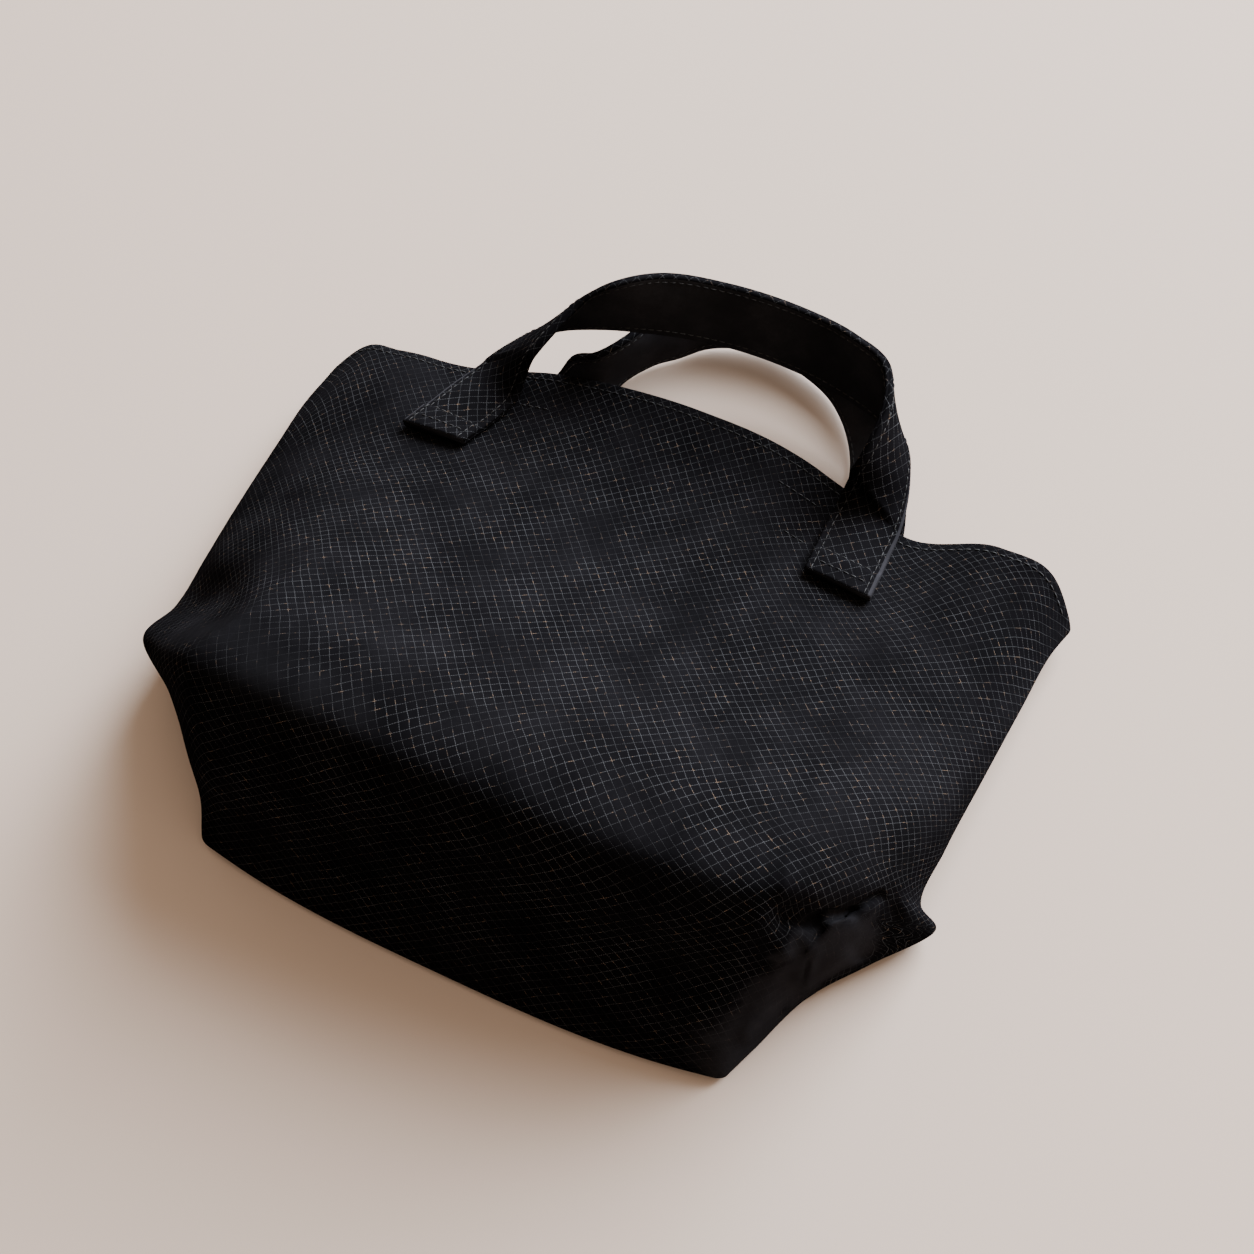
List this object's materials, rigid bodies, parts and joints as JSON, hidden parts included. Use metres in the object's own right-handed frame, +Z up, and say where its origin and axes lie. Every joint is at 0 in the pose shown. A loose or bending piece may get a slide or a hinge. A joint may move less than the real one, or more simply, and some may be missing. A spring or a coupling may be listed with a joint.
{
  "type": "tote bag",
  "caption": "Small soft tote bag of black suede-like leather with a fine square lattice of pale worn lines, boxed lower corners and flat twisting carrying handles, lying on its back.",
  "frame": {"origin": "middle of the flat back panel, on the surface that the bag lies on", "axes": "+X from the bag's left side to its right side as its front is looked at, +Y from the base to the rim and the handles, +Z up from the back panel to the front panel"},
  "size_m": [0.3137, 0.2755, 0.0918],
  "materials": {
    "body_leather": "matte black suede-like leather with a fine square lattice of pale grey worn dotted lines",
    "handle_leather": "matte black leather, latticed on the outer face and plain velvety on the inner face, with pale edge stitches"
  },
  "bodies": {
    "root": {"bag_body": "body_leather", "front_handle": "handle_leather", "back_handle": "handle_leather"}
  },
  "joints": []
}
